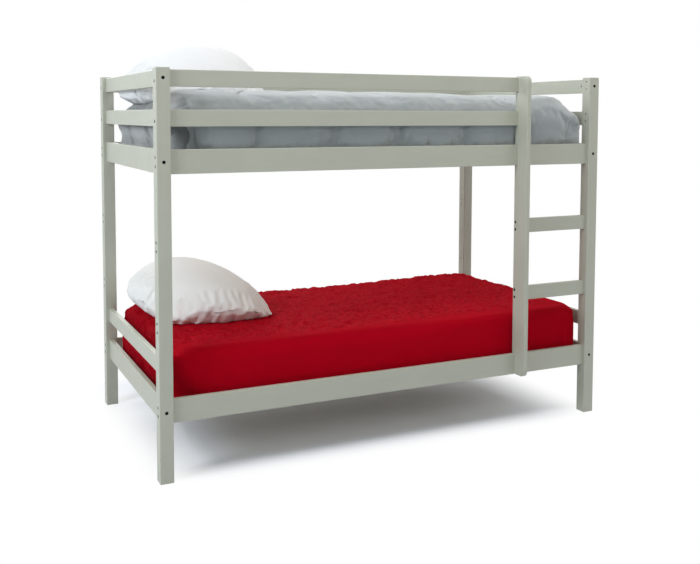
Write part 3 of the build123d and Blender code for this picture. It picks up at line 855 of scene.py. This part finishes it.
floor_bm = bmesh.new()
bmesh.ops.create_grid(floor_bm, x_segments=1, y_segments=1, size=30.0)
pale, tree, shader = finish("pale floor")
tree.nodes.remove(shader)
offset = put(tree, "ShaderNodeTexCoord").outputs["Object"]
matt = put(tree, "ShaderNodeBsdfDiffuse", {"Color": (0.78, 0.82, 0.88, 1)}).outputs[0]
white = put(tree, "ShaderNodeEmission", {"Color": (1, 1, 1, 1), "Strength": 1.0}).outputs[0]
for operation, by in (
    ("SUBTRACT", floor_middle),
    ("ABSOLUTE", (0, 0, 0)),
    ("SUBTRACT", floor_core),
    ("MAXIMUM", (0, 0, 0)),
    ("MULTIPLY", floor_fade),
):
    offset = put(tree, "ShaderNodeVectorMath", {0: offset, 1: by}, operation=operation).outputs[0]
distance = put(tree, "ShaderNodeVectorMath", {0: offset}, operation="LENGTH").outputs["Value"]
far = put(
    tree, "ShaderNodeMapRange", {"Value": distance, "From Min": 0.0, "From Max": 1.0},
    interpolation_type="SMOOTHSTEP",
).outputs[0]
share = sums(tree, "MULTIPLY", seen_directly(tree), far)
surface = put(tree, "ShaderNodeMixShader", {0: share, 1: matt, 2: white})
tree.links.new(surface.outputs[0], tree.nodes["Material Output"].inputs["Surface"])
floor = as_piece("floor", floor_bm, pale)

world = bpy.data.worlds.new("studio")
bpy.context.scene.world = world
world.use_nodes = True
tree = world.node_tree
soft = tree.nodes["Background"]
soft.inputs["Color"].default_value = (1.0, 1.0, 1.0, 1)
soft.inputs["Strength"].default_value = 0.13
backdrop = put(tree, "ShaderNodeBackground", {"Color": (1, 1, 1, 1), "Strength": 1.0})
inputs = {0: seen_directly(tree), 1: soft.outputs[0], 2: backdrop.outputs[0]}
surround = put(tree, "ShaderNodeMixShader", inputs)
tree.links.new(surround.outputs[0], tree.nodes["World Output"].inputs["Surface"])


def softbox(name, spot, target, size, power, colour):
    lamp = bpy.data.lights.new(name, "AREA")
    lamp.shape, lamp.size, lamp.size_y = "RECTANGLE", size[0], size[1]
    lamp.energy, lamp.color = power, colour
    holder = bpy.data.objects.new(name, lamp)
    holder.location = spot
    holder.rotation_euler = (Vector(target) - Vector(spot)).to_track_quat("-Z", "Y").to_euler()
    bpy.context.scene.collection.objects.link(holder)


softbox("overhead light", (0.0, -1.4, 4.3), (0, 0, 0.6), (3.0, 2.0), 64, (1.0, 1.0, 1.0))
softbox("overhead rear light", (-0.3, 0.9, 4.4), (0, 0, 0.6), (3.0, 2.4), 34, (1.0, 1.0, 1.0))
softbox("left light", (-4.4, -1.4, 3.0), (0, 0, 0.8), (2.0, 2.0), 148, (0.88, 0.95, 1.0))
softbox("front light", (0.3, -4.9, 3.5), (0, 0, 0.8), (2.6, 2.0), 46, (1.0, 0.98, 0.93))
softbox("front right light", (3.5, -3.6, 2.4), (0, 0, 0.8), (2.0, 2.0), 24, (1.0, 0.99, 0.95))
softbox("right light", (4.6, 0.3, 2.6), (0, 0, 0.8), (2.2, 2.2), 86, (1.0, 0.99, 0.97))
softbox("rear light", (-0.3, 4.6, 3.0), (0, 0, 0.9), (3.0, 2.0), 130, (1.0, 1.0, 1.0))
softbox("rear left light", (-3.6, 2.8, 2.6), (0, 0, 0.8), (2.2, 2.2), 26, (0.96, 0.99, 1.0))

camera_data = bpy.data.cameras.new("camera")
camera_data.lens, camera_data.sensor_width = 47.07, 36.0
camera_data.shift_y = -0.15
camera = bpy.data.objects.new("camera", camera_data)
bpy.context.scene.view_settings.view_transform = "Standard"
yaw, pitch, roll = math.radians(25.469), math.radians(-3.875), math.radians(0.141)
aim = Matrix.Rotation(-yaw, 4, "Z") @ Matrix.Rotation(math.pi / 2 + pitch, 4, "X")
aim = aim @ Matrix.Rotation(roll, 4, "Z")
camera.matrix_world = Matrix.Translation((-1.7891, -3.7731, 1.3597)) @ aim
bpy.context.scene.collection.objects.link(camera)
bpy.context.scene.camera = camera
